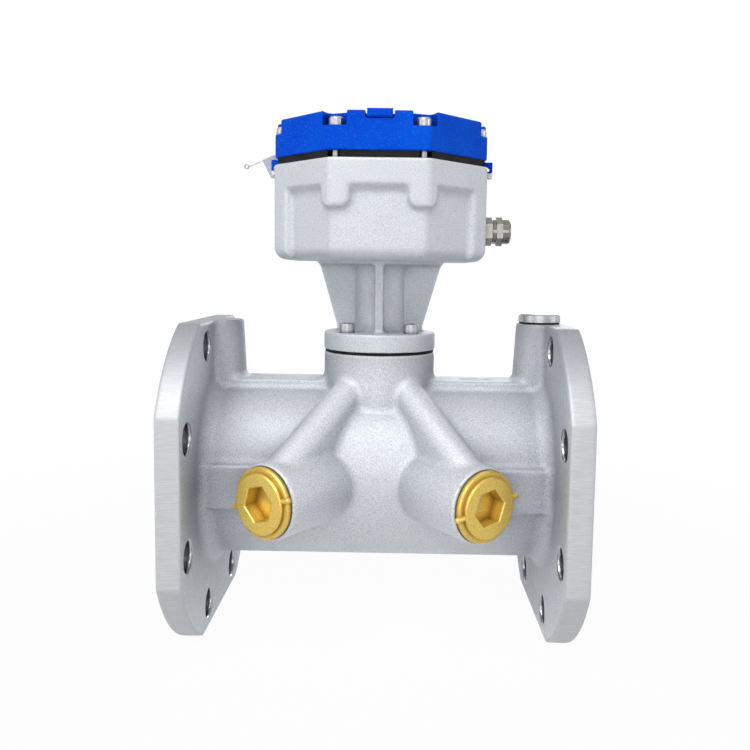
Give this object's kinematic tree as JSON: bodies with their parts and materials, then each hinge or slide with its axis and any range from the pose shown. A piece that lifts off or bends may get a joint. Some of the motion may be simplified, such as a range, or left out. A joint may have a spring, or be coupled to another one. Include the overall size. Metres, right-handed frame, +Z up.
{
  "type": "ultrasonic water meter",
  "caption": "Flanged ultrasonic water meter: cast pipe body with crossed oblique transducer bosses, and a stem-mounted octagonal register with blue hinged cover.",
  "frame": {"origin": "middle of the footprint, on the plane of the flanges' bottom flats", "axes": "+X along the pipe towards the cable gland, -Y to the front with the finger tab, +Z up along the stem"},
  "size_m": [0.25, 0.2092, 0.3224],
  "materials": {
    "body_casting": "shot-blasted stainless casting",
    "housing_casting": "shot-blasted die casting",
    "brass_fitting": "turned brass",
    "black_rubber": "matt black",
    "blue_coat": "fine wrinkle powder coat",
    "polished_steel": "bright",
    "nickel": "nickel plate",
    "transducer_plastic": "matt",
    "lead_jacket": "smooth",
    "clear_glass": "clear",
    "circuit_board": "solder mask",
    "display_panel": "gloss",
    "battery_wrap": "shrink wrap",
    "black_plastic": "matt",
    "terminal_plastic": "matt",
    "shield_can": "tinned",
    "seal_steel": "drawn wire",
    "tag_plastic": "translucent"
  },
  "bodies": {
    "meter": {"meter_body": "body_casting", "neck_gasket": "black_rubber", "port_plug": "polished_steel", "port_plug_seal": "black_rubber", "transducer_front_left": "transducer_plastic", "transducer_ring_front_left": "black_rubber", "transducer_nut_front_left": "brass_fitting", "plug_washer_front_left": "black_rubber", "transducer_plug_front_left": "brass_fitting", "transducer_front_right": "transducer_plastic", "transducer_ring_front_right": "black_rubber", "transducer_nut_front_right": "brass_fitting", "plug_washer_front_right": "black_rubber", "transducer_plug_front_right": "brass_fitting", "transducer_back_left": "transducer_plastic", "transducer_ring_back_left": "black_rubber", "transducer_nut_back_left": "brass_fitting", "plug_washer_back_left": "black_rubber", "transducer_plug_back_left": "brass_fitting", "transducer_back_right": "transducer_plastic", "transducer_ring_back_right": "black_rubber", "transducer_nut_back_right": "brass_fitting", "plug_washer_back_right": "black_rubber", "transducer_plug_back_right": "brass_fitting", "transducer_leads": "lead_jacket", "housing_base": "housing_casting", "stem_screws": "polished_steel", "housing_gasket": "black_rubber", "top_cover": "blue_coat", "cover_screws": "polished_steel", "hinge_pin": "polished_steel", "window_glass": "clear_glass", "window_seal": "black_rubber", "display_board": "circuit_board", "display_glass": "display_panel", "display_spacers": "brass_fitting", "main_board": "circuit_board", "board_screws": "polished_steel", "battery": "battery_wrap", "battery_holder": "black_plastic", "terminal_block": "terminal_plastic", "radio_module": "shield_can", "antenna": "black_plastic", "gland_body": "nickel", "gland_o_ring": "black_rubber", "gland_insert": "black_rubber", "gland_claw": "black_plastic", "gland_cap": "nickel", "gland_locknut": "nickel", "seal_wire": "seal_steel", "seal_tag": "tag_plastic"},
    "flip_cover": {"flip_cover": "blue_coat"}
  },
  "joints": [
    {"name": "flip_cover_hinge", "type": "hinge", "parent": "meter", "child": "flip_cover", "pos_m": [0, 0.055, 0.3196], "axis": [-1, 0, 0], "range_deg": [0, 105]}
  ]
}
